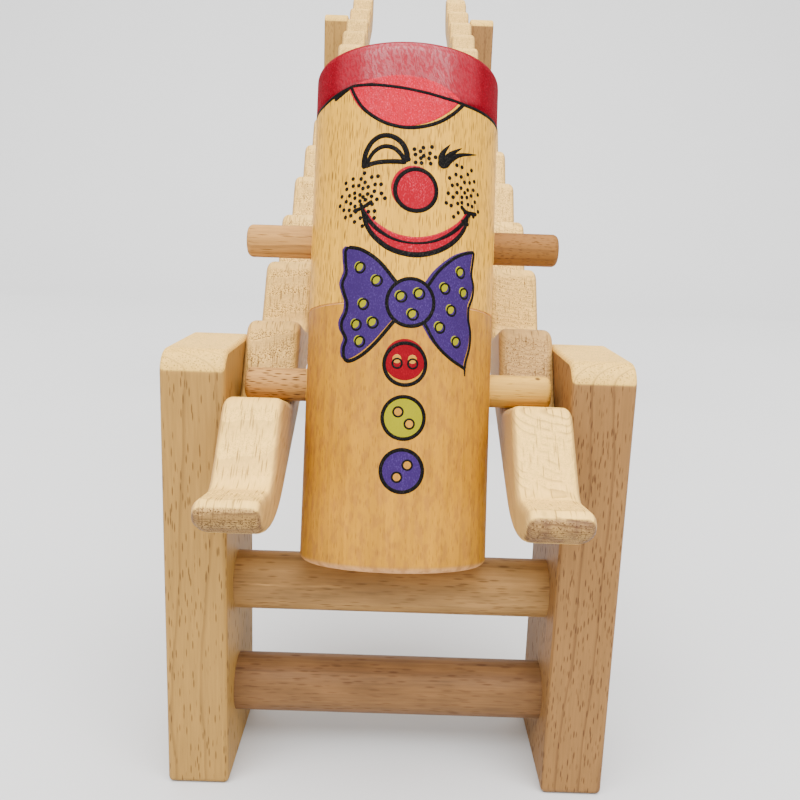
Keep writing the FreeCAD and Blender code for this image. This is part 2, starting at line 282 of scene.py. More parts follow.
# How a plain piece of beech looks. Lengths are in millimetres, cells as across, towards the pith and along the
# grain. A share is the part of the cells that is filled, a size where a mark starts and is full, in cells, and
# a step the pair of values between which something sets in.
PLAIN = dict(pith=70.0, ring_turn=0.0, ring_gap=2.6, ring_line=(0.5, 0.93), ring_end=(1.0, 0.95), ring_amount=0.12,
             ring_wander=1.4, ring_ripple=0.3, ring_fibre=0.15, ring_patchy=0.0,
             fleck_cell=(0.6, 1.3, 3.6), fleck_share=0.5, fleck_amount=0.75, fleck_size=(0.32, 0.14),
             ray_cell=(0.45, 6.0, 6.0), ray_share=1.0, ray_amount=0.0, ray_size=(0.42, 0.16),
             pore_cell=(0.42, 0.42, 0.42), pore_share=0.85, pore_amount=0.0, pore_size=(0.5, 0.28),
             sway_cell=(25.0, 25.0, 80.0), ripple_cell=(5.0, 5.0, 20.0), fibre_cell=(0.6, 0.6, 12.0),
             mottle_cell=(14.0, 14.0, 42.0), mottle_amount=0.12, fibre_amount=0.26,
             end_step=(0.35, 0.75), one_end=False, top_faces=False, roughness=0.55, bump=0.035)
# The same in every piece: how softly the share cuts in, the strength of the weakest mark, how far flecks and rays
# follow the sway in cells, how deep a ray is beside a fleck, and the pores' strength in late and early wood
SHARE_EDGE, WEAKEST_MARK = 0.04, 0.45
FLECK_SWAY, RAY_SWAY, RAY_DEPTH = 1.6, 2.0, 0.6
LATE_PORES, EARLY_PORES = 0.25, 0.85
# Where the noise of printed and painted colours turns into specks
SPECK_STEP = (0.52, 0.68)


def beech(name, face, end_grain, grain, rings, changes=(), tint=None):
    """Beech cut from a log with a given grain direction and a direction square to its rings.

    The rings are shells about a pith line, their distance bent by noise. Flecks are long cells that the wood's
    own rays fill, thin across, deeper towards the pith and longest along the grain. Faces that look along the
    grain show thin lines of rays and the ends of the pores as specks.
    """
    look = {**PLAIN, **dict(changes)}
    fleck = bpy.context.scene.clown_wood.fleck
    wood = Finish(name)
    across = np.cross(rings, grain)
    axes = (across, rings, grain)
    turn, gap = look["ring_turn"], look["ring_gap"]
    ring_across = math.cos(turn) * across + math.sin(turn) * rings
    ring_out = math.cos(turn) * rings - math.sin(turn) * across

    def uneven(kind, detail):
        """Noise from -0.5 to 0.5 in cells of one kind."""
        return wood.noise(wood.cell_place(axes, look[f"{kind}_cell"]), detail) - 0.5

    def marks(kind, shift=0.0):
        """Cells of one kind, filled by chance and each in its own strength up to 1."""
        space = wood.cell_place(axes, look[f"{kind}_cell"], shift)
        chance, share = wood.cells(space, "Color"), look[f"{kind}_share"]
        kept = chance.part("Red").step(share, share - SHARE_EDGE)
        strength = WEAKEST_MARK + (1 - WEAKEST_MARK) * chance.part("Green")
        return wood.cells(space).step(*look[f"{kind}_size"]) * kept * strength

    sway, ripple = uneven("sway", 1.0), uneven("ripple", 2.0)
    mottle, fibre = uneven("mottle", 3.0), uneven("fibre", 3.0)
    shell = (wood.vector(wood.place.along(ring_across / (gap * MM)),
                         wood.place.along(ring_out / (gap * MM)) + look["pith"] / gap, 0.0).length()
             + sway * look["ring_wander"] + ripple * look["ring_ripple"] + fibre * look["ring_fibre"])
    ring = shell.fraction()
    late = ring.step(*look["ring_line"]) * ring.step(*look["ring_end"])
    late = late * (1.0 - look["ring_patchy"] * mottle.step(0.08, -0.08))
    facing = wood.facing.along(grain)
    end = pore_face = (facing if look["one_end"] else abs(facing)).step(*look["end_step"])
    if look["top_faces"]:
        end = abs(wood.facing.along(across)).step(0.8, 0.5)
    colour = wood.mix(end, face, end_grain)
    if tint:
        colour = tint(wood, colour, late, mottle, fibre)
    colour = wood.mix(late * look["ring_amount"], colour, fleck)
    colour = colour.stretch(1.0 + mottle * (2 * look["mottle_amount"]) + fibre * (2 * look["fibre_amount"]))
    dark = marks("fleck", sway * FLECK_SWAY) * (1.0 - end)
    colour = wood.mix(dark * look["fleck_amount"], colour, fleck)
    if look["ray_amount"]:
        rays = marks("ray", sway * RAY_SWAY) * end
        colour = wood.mix(rays * look["ray_amount"], colour, fleck)
        dark = dark + rays * RAY_DEPTH
    if look["pore_amount"]:
        early = (ring + mottle * 1.2).step(0.85, 0.3)
        pores = marks("pore") * pore_face * (LATE_PORES + EARLY_PORES * early)
        colour = wood.mix(pores * look["pore_amount"], colour, fleck)
        dark = dark + pores
    roughness = look["roughness"] + fibre * 0.2 + dark * 0.15
    return wood.close(colour, roughness, fibre * 0.8 - dark, look["bump"] * MM, {"Specular IOR Level": 0.2})


def ink(name, colour, speck_colour, speck_amount, roughness, coat):
    """Printed colour: an even film with pale specks where the wood's fibres stand through it."""
    film = Finish(name)
    fine, streak, broad = film.body_noise(0.2, 0.42), film.body_noise(0.4, 6.0), film.body_noise(7, 7)
    specks = fine.step(*SPECK_STEP) * (0.5 + 0.5 * broad.step(0.35, 0.65))
    tone = film.mix(specks * speck_amount, colour, speck_colour).stretch(0.9 + 0.2 * broad)
    return film.close(tone, roughness + 0.15 * (fine - 0.5), fine * 0.6 + streak * 0.4, 0.045 * MM,
                      {"Coat Weight": coat, "Coat Roughness": 0.15, "Specular IOR Level": 0.06})


def cap_gloss(name, colour, speck_colour, shine, painted_highlight):
    """Thick brushed paint with wavy brush marks and a fine sparkle, glossy only where it faces the front.

    There shine is the coat's weight, and painted_highlight is how far the paint turns to the speck colour at the
    front, a painted highlight.
    """
    film = Finish(name)
    warp, fine, broad = film.body_noise(5, 5) - 0.5, film.body_noise(0.25, 0.35), film.body_noise(8, 8)
    brush = film.noise(film.cell_place((SIDE + 0.35 * UP, FRONT, UP), (0.5, 0.6, 1.5), 5.0 * warp), 3.0)
    # The lighter specks are a painted sparkle of small glints in the paint.
    tone = film.mix(fine.step(*SPECK_STEP) * 0.45, colour, speck_colour).stretch(0.8 + 0.4 * broad)
    # Painted highlight: where the paint faces the front it turns lighter towards the speck colour by
    # painted_highlight.
    front = film.facing.along(FRONT).step(0.62, 0.8)
    tone = film.mix(front * painted_highlight, tone, speck_colour)
    front = front * (0.4 + 0.6 * brush.step(0.4, 0.58))
    return film.close(tone, 0.6 + 0.2 * (fine - 0.5), brush + fine * 0.5, 0.3 * MM,
                      {"Coat Weight": front * shine, "Coat Roughness": 0.3, "Specular IOR Level": 0.03})


def steel(name):
    """Polished steel with faint rubbed patches."""
    metal = Finish(name)
    patch = metal.noise(metal.place.stretch(1 / (3.0 * MM)), 3.0)
    tone = metal.mix(patch, (0.56, 0.56, 0.58), (0.70, 0.70, 0.72))
    return metal.close(tone, 0.18 + 0.14 * patch, patch, 0.01 * MM, {"Metallic": 1.0})


def dress(material, *names):
    """Gives carried-over pieces of the frame one finish."""
    for name in names:
        slots = frame["nodes"][name].data.materials
        slots.clear()
        slots.append(material)


def corners(name):
    """The points of a carried-over piece, as rows in metres."""
    mesh = frame["nodes"][name].data
    points = np.empty(len(mesh.vertices) * 3)
    mesh.vertices.foreach_get("co", points)
    return points.reshape(-1, 3)


def round_axis(angle, reach, height):
    """Points about the clown's axis: middle + reach (sin angle side + cos angle front) + height up, in metres."""
    return (MIDDLE + (reach * np.sin(angle))[..., None] * SIDE + (reach * np.cos(angle))[..., None] * FRONT
            + height[..., None] * UP)


def on_body(arc, height, lift):
    """Points on the clown's round side: angle = arc / radius, reach = radius + lift."""
    angle, reach = np.broadcast_arrays(np.asarray(arc) / BODY_RADIUS, BODY_RADIUS + np.asarray(lift))
    return round_axis(angle, reach, np.broadcast_to(height, angle.shape))


def grid_faces(rows, columns, wrap_rows, wrap_columns):
    """Quads between neighbours of a grid; a wrapped direction also joins its last line to its first."""
    i, j = np.meshgrid(np.arange(rows if wrap_rows else rows - 1),
                       np.arange(columns if wrap_columns else columns - 1), indexing="ij")
    following_i, following_j = (i + 1) % rows, (j + 1) % columns
    return np.stack([i * columns + j, following_i * columns + j, following_i * columns + following_j,
                     i * columns + following_j], axis=-1).reshape(-1, 4)


def make_piece(name, grids, material, body="clown"):
    """One mesh of several closed grids, each given as points, wrap rows and wrap columns.

    Points that fall together are joined, so a line that shrinks to a point becomes a closed pole.
    """
    points, faces, start = [], [], 0
    for grid, wrap_rows, wrap_columns in grids:
        rows, columns = grid.shape[:2]
        points.append(grid.reshape(-1, 3))
        faces.append(grid_faces(rows, columns, wrap_rows, wrap_columns) + start)
        start += rows * columns
    mesh = bpy.data.meshes.new(name)
    mesh.from_pydata(np.concatenate(points), [], np.concatenate(faces).tolist())
    worker = bmesh.new()
    worker.from_mesh(mesh)
    bmesh.ops.remove_doubles(worker, verts=worker.verts, dist=1e-7)
    bmesh.ops.recalc_face_normals(worker, faces=worker.faces)
    worker.to_mesh(mesh)
    worker.free()
    mesh.polygons.foreach_set("use_smooth", np.ones(len(mesh.polygons), dtype=bool))
    mesh.materials.append(material)
    piece = bpy.data.objects.new(name, mesh)
    bpy.context.scene.collection.objects.link(piece)
    if body:
        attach(piece, body)
    return piece


# Steps between two points of a curve
CURVE_STEPS = 10


def flowing(points):
    """Catmull-Rom curve: between two points it is the cubic whose slopes come from their neighbours."""
    points = np.asarray(points, dtype=float)
    padded = np.vstack([2 * points[0] - points[1], points, 2 * points[-1] - points[-2]])
    before, start, end, after = (padded[first:first + len(points) - 1, None, :] for first in range(4))
    t = (np.arange(CURVE_STEPS) / CURVE_STEPS)[None, :, None]
    curve = 0.5 * (2 * start + (end - before) * t + (2 * before - 5 * start + 4 * end - after) * t ** 2
                   + (3 * start - before - 3 * end + after) * t ** 3)
    return np.vstack([curve.reshape(-1, 2), points[-1]])


def fading(path, power):
    """Falls from 1 at the first point of a path to 0 at its last."""
    return np.linspace(1.0, 0.0, len(path)) ** power


def circle(centre, radius, count=48):
    """centre + radius (cos turn, sin turn)."""
    turn = np.linspace(0, 2 * math.pi, count, endpoint=False)
    return np.asarray(centre) + radius * np.stack([np.cos(turn), np.sin(turn)], axis=-1)


# The raised profile of an ink line: half widths across, and shares of the line's height
LINE_ACROSS = np.array((-1.0, -1.0, -0.8, 0.0, 0.8, 1.0, 1.0, 0.0))
LINE_RISE = np.array((-0.5, 0.3, 0.9, 1.0, 0.9, 0.3, -0.5, -0.5))
# The same for a patch of colour: shares of the way from its centre to its edge, and of its height
PATCH_SHARE = np.array((0.0, 0.15, 0.3, 0.45, 0.6, 0.75, 0.9, 0.985, 1.0, 1.0, 0.6, 0.0))
PATCH_RISE = np.array((1.0, 1.0, 1.0, 1.0, 1.0, 1.0, 1.0, 0.95, 0.5, -0.5, -0.5, -0.5))
ROUND_END = np.array((0.0, 0.04, 0.15, 0.35, 0.65, 1.0))


def line(path, widths, lift, closed=False):
    """Grid of an ink line: its profile carried along a path of (arc, height) points in millimetres.

    point = path + half width across normal, standing lift times rise off the wood. An open line's half width
    follows a half circle at its ends, sqrt(1 - (1 - distance / half width)^2), and shrinks to a point there.
    """
    path = np.asarray(path, dtype=float)
    widths = np.broadcast_to(np.asarray(widths, dtype=float), len(path))
    if closed:
        tangent = np.roll(path, -1, axis=0) - np.roll(path, 1, axis=0)
        half = widths / 2
    else:
        run = np.concatenate([[0.0], np.cumsum(np.linalg.norm(np.diff(path, axis=0), axis=1))])
        ends = np.concatenate([ROUND_END * widths[0] / 2, run[-1] - ROUND_END * widths[-1] / 2])
        places = np.unique(np.clip(np.concatenate([run, ends]), 0.0, run[-1]))
        half = np.interp(places, run, widths) / 2
        path = np.stack([np.interp(places, run, path[:, axis]) for axis in (0, 1)], axis=-1)
        tangent = np.gradient(path, axis=0)
        near = np.minimum(places / (widths[0] / 2 + 1e-9), (run[-1] - places) / (widths[-1] / 2 + 1e-9))
        half = half * np.sqrt(np.clip(1 - (1 - np.clip(near, 0, 1)) ** 2, 0, 1))
    tangent = tangent / np.linalg.norm(tangent, axis=1, keepdims=True)
    normal = np.stack([-tangent[:, 1], tangent[:, 0]], axis=-1)
    flat = path[:, None, :] + half[:, None, None] * LINE_ACROSS[None, :, None] * normal[:, None, :]
    rise = np.where(half[:, None] > 1e-6, LINE_RISE[None, :], 0.0) * lift
    return on_body(flat[..., 0] * MM, flat[..., 1] * MM, rise), closed, True


def patch(edge, centre, lift):
    """Grid of a patch of colour: point = centre + share (edge - centre), lifted by rise, closed underneath."""
    edge, centre = np.asarray(edge, dtype=float), np.asarray(centre, dtype=float)
    flat = centre + PATCH_SHARE[:, None, None] * (edge - centre)[None, :, :]
    rise = np.broadcast_to(PATCH_RISE[:, None] * lift, flat.shape[:2])
    return on_body(flat[..., 0] * MM, flat[..., 1] * MM, rise), False, True


def moved(points, right, up):
    return np.asarray(points, dtype=float) + (right, up)


# The printed inks: the setting of their colour, colour and strength of their specks, roughness and coat
# In the red ink the pink specks are partly wood fibres through the ink and partly painted glints.
INKS = {"red": ("print_red", shade(240, 90, 110), 0.35, 0.5, 0.05),
        "black": ("black", shade(90, 80, 72), 0.2, 0.6, 0.0),
        "purple": ("purple", shade(110, 88, 160), 0.25, 0.5, 0.05),
        "yellow": ("yellow", shade(150, 146, 8), 0.15, 0.6, 0.0),
        "deep_red": ("deep_red", shade(190, 20, 40), 0.2, 0.6, 0.0)}


class Print:
    """What all prints share: sizes and inks from the settings, and the picture's place on the body."""

    def __init__(self, scene):
        self.sizes, self.paint = scene.clown_print, scene.clown_paint
        self.line_lift, self.fill_lift = self.sizes.line_lift, self.sizes.fill_lift
        self.offset = self.sizes.print_offset / MM

    def line(self, path, width, closed=False):
        return line(moved(path, self.offset, 0), width, self.line_lift, closed)

    def ring(self, centre, radius, width, count=64):
        return self.line(circle(centre, radius, count), width, closed=True)

    def fill(self, edge, centre, lift=None, shift=(0.0, 0.0)):
        right, up = shift
        return patch(moved(edge, self.offset + right, up), moved(centre, self.offset + right, up),
                     self.fill_lift if lift is None else lift)

    def disc(self, centre, radius, lift=None, shift=(0.0, 0.0), count=48):
        return self.fill(circle(centre, radius, count), centre, lift, shift)

    def ink(self, name):
        """The printed ink of this name, made once."""
        colour, *look = INKS[name]
        material = f"printed_{name}"
        return bpy.data.materials.get(material) or ink(material, getattr(self.paint, colour), *look)

    def piece(self, name, grids, ink_name, half="upper"):
        """One printed piece in one ink on the clown; the half it is given is not used."""
        make_piece(name, grids, self.ink(ink_name))


class FinishPosts(bpy.types.Operator):
    """Beech with upright grain on the four posts."""
    bl_idname = "clown_toy.finish_posts"
    bl_label = "Finish posts"

    def execute(self, context):
        wood = context.scene.clown_wood
        # The post_top colour goes only on the faces turned up: partly end grain, partly painted light on the lit
        # tops.
        post = dict(one_end=True, end_step=(0.10, 0.20), ring_gap=2.2, ring_line=(0.82, 0.95), pore_amount=0.6,
                    pore_share=0.7, fleck_size=(0.38, 0.2))
        left = dict(fleck_cell=(0.52, 1.4, 4.0), fleck_share=0.6, fleck_amount=0.7, ring_turn=0.7, ring_amount=0.3,
                    pith=26.0)
        right = dict(fleck_cell=(0.52, 1.2, 3.4), fleck_share=1.1, ring_turn=-0.5, ring_amount=0.42, pith=60.0)
        for side, changes in (("left", left), ("right", right)):
            finish = beech(f"{side}_post_beech", getattr(wood, f"{side}_post"), wood.post_top, HEIGHT, DEPTH,
                           {**post, **changes})
            dress(finish, f"front_{side}_post", f"rear_{side}_post")
        return {"FINISHED"}


class FinishRails(bpy.types.Operator):
    """Pale beech with its grain along the slope on the two notched rails."""
    bl_idname = "clown_toy.finish_rails"
    bl_label = "Finish rails"

    def execute(self, context):
        wood = context.scene.clown_wood
        places = corners("left_rail") @ RAIL_ALONG
        low, high = float(places.min()), float(places.max())

        def step_colours(shadow):
            """The tint of one rail: pale first step, darker ones behind it and brown, banded ends."""

            def tint(finish, colour, late, mottle, fibre):
                run = finish.place.along(RAIL_ALONG) + mottle * (2.0 * MM)

                def zone(start, end):
                    """Sets in between two distances from the low end, in millimetres."""
                    return run.step(low + start * MM, low + end * MM)

                near = zone(5.0, 3.5) + run.step(high - 5.0 * MM, high - 3.5 * MM)
                tip = near * abs(finish.facing.along(RAIL_ALONG)).step(0.3, 0.55)
                # Painted shade: the steps behind the first turn darker, and the second step darker still by shadow,
                # where the clown's shadow falls.
                colour = finish.mix(zone(30.0, 44.0) * 0.3 + zone(38.0, 44.0) * zone(82.0, 74.0) * shadow,
                                    colour, wood.left_rail)
                height = finish.place.along(RAIL_ABOVE / (0.9 * MM)) + mottle
                band = finish.noise(height.spread(), 2.0).step(0.48, 0.62)
                grey = finish.noise((height * 0.25 + mottle * 2.0).spread(), 3.0).step(0.5, 0.7) * (1.0 - near)
                # The tips turn to rail_tip: end grain, and partly painted shade.
                colour = finish.mix(tip * (0.85 + mottle), colour, wood.rail_tip)
                return finish.mix(tip * (late * 0.3 + band * 0.6) + grey * 0.16, colour, wood.fleck)

            return tint

        # With top_faces, every face that does not look sideways takes rail_step: partly the cut wood's own tone,
        # partly painted light.
        rail = dict(end_step=(0.30, 0.60), top_faces=True, pore_cell=(0.36, 0.36, 0.36), ray_amount=0.65,
                    pith=240.0, fleck_cell=(0.8, 2.2, 5.5), fleck_share=0.4, fleck_amount=0.4, bump=0.09)
        left = dict(ring_gap=3.4, ring_line=(0.2, 0.95), ring_amount=0.2, pore_amount=0.95, pore_share=1.5,
                    ray_share=1.3)
        right = dict(ring_gap=0.85, ring_line=(0.55, 0.95), ring_amount=0.42, ring_wander=4.0, ring_ripple=1.1,
                     ring_patchy=0.85, mottle_cell=(4.0, 4.0, 12.0), pore_amount=0.85, pore_share=1.3,
                     ray_share=0.55)
        for side, shadow, changes in (("left", 0.15, left), ("right", 0.7, right)):
            finish = beech(f"{side}_rail_beech", getattr(wood, f"{side}_rail"), wood.rail_step, RAIL_ALONG,
                           RAIL_ABOVE, {**rail, **changes}, step_colours(shadow))
            dress(finish, f"{side}_rail")
        return {"FINISHED"}


class FinishBars(bpy.types.Operator):
    """Streaky brown beech on the round bars and plain beech on the hidden pins."""
    bl_idname = "clown_toy.finish_bars"
    bl_label = "Finish bars and pins"

    def execute(self, context):
        wood = context.scene.clown_wood
        bar = dict(fleck_cell=(0.7, 1.6, 5.0), fleck_share=0.9, fleck_amount=0.55, fleck_size=(0.4, 0.14),
                   mottle_amount=0.34, mottle_cell=(3.5, 3.5, 10.5), fibre_amount=0.4, ring_amount=0.25,
                   ring_gap=3.4, pith=12.0)
        # The lower bars take the darker lower_crossbar colour, a painted shade.
        for level, colour in (("lower", wood.lower_crossbar), ("upper", wood.crossbar)):
            dress(beech(f"{level}_bar_beech", colour, wood.post_top, ACROSS, DEPTH, bar),
                  f"front_{level}_crossbar", f"rear_{level}_crossbar")
        dress(beech("pin_beech", wood.pale_peg, wood.post_top, ACROSS, DEPTH, dict(pith=9.0)),
              *[f"{row}_{side}_rail_pins" for row in ("front", "rear") for side in ("left", "right")])
        return {"FINISHED"}


class FinishBody(bpy.types.Operator):
    """Lacquered beech on the two halves of the body, and polished steel on the hidden ball."""
    bl_idname = "clown_toy.finish_body"
    bl_label = "Finish body"

    def execute(self, context):
        wood = context.scene.clown_wood

        def deepen_flanks(finish, colour, late, mottle, fibre):
            """Deeper orange towards the left flank and in patches."""
            flank = abs(finish.place.along(SIDE / BODY_RADIUS) - 0.35) + mottle * 0.5 + fibre * 0.3
            dark_patches = finish.noise(finish.cell_place(BODY_AXES, (1.6, 1.6, 3.2)), 3.0)
            return finish.mix(flank.step(1.0, 1.4) * 0.45 + dark_patches.step(0.45, 0.65) * 0.5, colour, wood.body_edge)

        upper = dict(fleck_cell=(0.3, 0.8, 3.6), fleck_share=1.1, fleck_amount=0.85, fleck_size=(0.4, 0.22),
                     roughness=0.5, end_step=(0.5, 0.9), mottle_amount=0.08, fibre_amount=0.3)
        lower = dict(fleck_cell=(0.45, 1.0, 2.2), fleck_share=0.8, fleck_amount=0.32, fleck_size=(0.45, 0.15),
                     end_step=(0.05, 0.7), mottle_amount=0.16, mottle_cell=(2.5, 2.5, 7.5), fibre_amount=0.2)
        for half, changes, tint in (("upper", upper, None), ("lower", lower, deepen_flanks)):
            finish = beech(f"{half}_body_beech", getattr(wood, f"{half}_body"), wood.foot_end, UP, FRONT, changes,
                           tint)
            dress(finish, f"body_{half}_half")
        dress(steel("polished_steel"), "steel_ball")
        return {"FINISHED"}


class FinishPegs(bpy.types.Operator):
    """Dowel with its grain along the pegs, each from its own stick; the right leg peg has a small knot."""
    bl_idname = "clown_toy.finish_pegs"
    bl_label = "Finish pegs"

    def execute(self, context):
        wood = context.scene.clown_wood
        leg_middle = MIDDLE - UP * PEG_SPACING / 2
        knot = leg_middle + SIDE * 34.0 * MM + (UP * 0.8 + FRONT * 0.6) * PEG_RADIUS

        def add_knot(finish, colour, late, mottle, fibre):
            spot = (finish.place.distance_to(knot) + fibre * (0.4 * MM)).step(0.9 * MM, 0.35 * MM)
            return finish.mix(spot * 0.85, colour, wood.fleck)

        dowel = dict(fleck_cell=(0.48, 0.9, 3.0), fleck_share=1.0, fleck_amount=1.0, fleck_size=(0.42, 0.18),
                     pith=7.0, ring_gap=1.8, ring_amount=0.25, bump=0.12, pore_amount=0.5, fibre_amount=0.3,
                     roughness=0.7)
        tan = dict(fleck_cell=(0.4, 0.9, 5.0), fleck_amount=0.55, fleck_share=0.7, fibre_amount=0.4)
        orange = dict(fleck_cell=(0.35, 0.9, 1.6), fleck_amount=0.5, fibre_amount=0.15)
        pale = dict(fleck_share=0.4, fleck_amount=0.3)
        for peg, stick, colour, changes, tint in (("left_arm", "tan", wood.brown_peg, tan, None),
                                                  ("left_leg", "brown", wood.brown_peg, {}, None),
                                                  ("right_arm", "orange", wood.orange_peg, orange, None),
                                                  ("right_leg", "pale", wood.pale_peg, pale, add_knot)):
            dress(beech(f"{stick}_dowel", colour, colour, ACROSS, DEPTH, {**dowel, **changes}, tint), f"{peg}_peg")
        return {"FINISHED"}


class AddCollars(bpy.types.Operator):
    """Ragged collars of torn fibres where the four pegs enter the body."""
    bl_idname = "clown_toy.add_collars"
    bl_label = "Add torn fibres round the pegs"

    def execute(self, context):
        wood, sizes = context.scene.clown_wood, context.scene.clown_print
        material = beech("torn_fibres", wood.pale_peg, wood.post_top, UP, FRONT,
                         dict(fleck_amount=0.5, bump=0.12, roughness=0.7))
        rng = np.random.default_rng(11)
        for side_name, side in (("left", -1), ("right", 1)):
            for limb, end, half in (("arm", 1, "upper"), ("leg", -1, "lower")):
                make_piece(f"{side_name}_{limb}_peg_collar", [collar(side, end, sizes.collar_width, rng)], material)
        return {"FINISHED"}


# Steps of a collar round its peg
COLLAR_STEPS = 72


def collar(side, end, width, rng):
    """Grid of a ragged ring where a peg enters the round side.

    A small round profile is carried about the peg: point = peg axis + (peg radius + profile) (cos turn front +
    sin turn up), and it lies on the body where side^2 + front^2 = radius^2. Its thickness is uneven noise.
    """
    turn = np.linspace(0, 2 * math.pi, COLLAR_STEPS, endpoint=False)[:, None]
    rough = rng.uniform(0.25, 1.0, COLLAR_STEPS)
    rough = (rough + np.roll(rough, 1) * 0.5)[:, None] / 1.5
    around = np.linspace(0, 2 * math.pi, 8, endpoint=False)[None, :]
    out = PEG_RADIUS + width * (0.15 + 0.5 * rough * np.cos(around))
    front, up = out * np.cos(turn), out * np.sin(turn)
    reach = np.sqrt(BODY_RADIUS ** 2 - front ** 2) + width * 0.32 * rough * np.sin(around)
    middle = MIDDLE + UP * end * PEG_SPACING / 2
    return (middle + side * reach[..., None] * SIDE + front[..., None] * FRONT + up[..., None] * UP), True, True


# Heights of the cap's lower edge in millimetres above the body's middle, by arc from the middle of the face
CAP_EDGE_ARC = np.array((-70.7, -50.0, -31.0, -25.0, -21.0, -17.2, -13.9, -9.1, -4.2, 0.9, 6.8, 13.2, 20.0, 31.0,
                         50.0, 70.7))
CAP_EDGE_HEIGHT = np.array((47.3, 47.5, 47.9, 48.2, 48.8, 49.4, 49.9, 49.4, 48.6, 47.8, 47.0, 46.5, 46.45, 46.5,
                            46.9, 47.3))
# Shares of the flat top's radius at which the cap's paint has a ring of points
CAP_TOP_SHARES = np.array((0.8, 0.55, 0.3, 0.1, 0.0))


def cap_edge(arc):
    return np.interp(arc, CAP_EDGE_ARC, CAP_EDGE_HEIGHT)


class PaintCap(bpy.types.Operator):
    """Glossy red cap over the head, its visor and the black lines round them."""
    bl_idname = "clown_toy.paint_cap"
    bl_label = "Paint cap"

    def execute(self, context):
        prints = Print(context.scene)
        # The cap's paint turns lighter at the front as a painted highlight; the visor's brighter red is partly its
        # own print and partly painted highlight.
        red = cap_gloss("cap_paint", prints.paint.cap_red, shade(185, 20, 50), shine=1.0, painted_highlight=0.3)
        visor_red = cap_gloss("visor_ink", prints.paint.visor_red, shade(240, 60, 95), shine=0.3, painted_highlight=0.0)
        make_piece("cap_paint", [cap_skin(prints.fill_lift, prints.offset)], red)
        visor = flowing([(-14.9, 49.7), (-13.4, 47.0), (-11.5, 44.4), (-8.8, 42.1), (-5.4, 40.2), (-1.4, 39.3),
                         (2.5, 39.7), (6.3, 41.2), (9.8, 43.7), (12.8, 46.7)])
        bulge = flowing([(12.8, 47.1), (8.0, 49.4), (3.4, 50.5), (-1.6, 51.0), (-7.8, 50.6), (-14.9, 49.7)])
        make_piece("visor_colour", [prints.fill(np.vstack([visor, bulge[1:-1]]), (-0.5, 46.0),
                                                prints.fill_lift * 1.4, (-1.0, 0.3))],
                   visor_red)
        arc = np.linspace(-70.6, 70.6, 140)
        thin = prints.sizes.cap_line_width / MM
        fold = [(-20.4, 48.2), (-17.8, 48.9), (-15.2, 49.6)]
        prints.piece("cap_lines", [prints.line(np.stack([arc, cap_edge(arc)], axis=-1), thin * 0.78),
                                   prints.line(visor, thin * 0.85), prints.line(fold, [1.5, 1.3, 0.7])], "black")
        return {"FINISHED"}


def cap_skin(lift, offset):
    """Grid of the cap's paint: a profile turned about the body's axis.

    From its lower edge it runs up the side, round the head's edge by radius - round + round cos t, and in to the
    middle of the top; the same profile a little inside the wood closes it.
    """
    turn = np.linspace(-math.pi, math.pi, 200, endpoint=False)
    edge = cap_edge(turn * BODY_RADIUS / MM - offset) * MM
    shoulder = BODY_HALF_LENGTH - HEAD_ROUND
    flat_radius = BODY_RADIUS - HEAD_ROUND
    bend = np.linspace(0, math.pi / 2, 9)[1:]
    climb = np.linspace(0, 1, 6)[:, None]

    def profile(out):
        """Reach and height of the paint's points, out from the wood."""
        side_height = edge + (shoulder - edge) * climb
        reaches = np.concatenate([flat_radius + (HEAD_ROUND + out) * np.cos(bend), flat_radius * CAP_TOP_SHARES])
        heights = np.concatenate([shoulder + (HEAD_ROUND + out) * np.sin(bend),
                                  np.full(len(CAP_TOP_SHARES), BODY_HALF_LENGTH + out)])
        return [np.vstack([side, top[:, None] * np.ones_like(turn)])
                for side, top in ((np.full_like(side_height, BODY_RADIUS + out), reaches), (side_height, heights))]

    (outer_reach, outer_height), (inner_reach, inner_height) = profile(lift), profile(-2 * lift)
    reach = np.vstack([outer_reach, inner_reach[::-1]])
    height = np.vstack([outer_height, inner_height[::-1]])
    return round_axis(turn, reach, height), True, True


class PrintEyes(bpy.types.Operator):
    """Open eye with two arches, and a winking eye with three lashes."""
    bl_idname = "clown_toy.print_eyes"
    bl_label = "Print eyes"

    def execute(self, context):
        prints = Print(context.scene)
        outer = flowing([(-10.7, 30.2), (-10.5, 33.2), (-9.3, 35.7), (-7.6, 37.1), (-5.7, 37.5), (-3.7, 37.0),
                         (-1.9, 35.6), (-0.9, 33.6), (-0.7, 31.4)])
        inner = flowing([(-10.0, 31.3), (-8.8, 33.4), (-7.1, 34.7), (-5.3, 35.0), (-3.5, 34.4), (-2.1, 33.1),
                         (-1.2, 31.6)])
        lid = flowing([(-10.5, 30.7), (-8.2, 31.3), (-5.9, 31.5), (-3.3, 31.5), (-0.8, 31.4)])
        thick = fading(outer, 3)
        prints.piece("left_eye_lines", [prints.line(outer, 1.05 + 0.4 * thick + 0.3 * thick[::-1]),
                                        prints.line(inner, 1.0), prints.line(lid, 1.1)], "black")
        lashes = (([(7.1, 32.2), (7.5, 34.2), (9.3, 36.6)], 2.1, 0.8),
                  ([(7.9, 32.0), (9.4, 34.2), (12.5, 36.4)], 2.2, 0.8),
                  ([(7.7, 31.2), (9.5, 33.1), (12.2, 34.7), (17.3, 36.0)], 1.9, 0.7))
        lines = [prints.line(lash, width * fading(lash, power) + 0.05)
                 for lash, width, power in ((flowing(points), *rest) for points, *rest in lashes)]
        prints.piece("right_eye_wink", [*lines, prints.disc((7.7, 32.1), 1.35, prints.line_lift * 1.1)], "black")
        return {"FINISHED"}


NOSE_CENTRE = (1.5, 25.2)


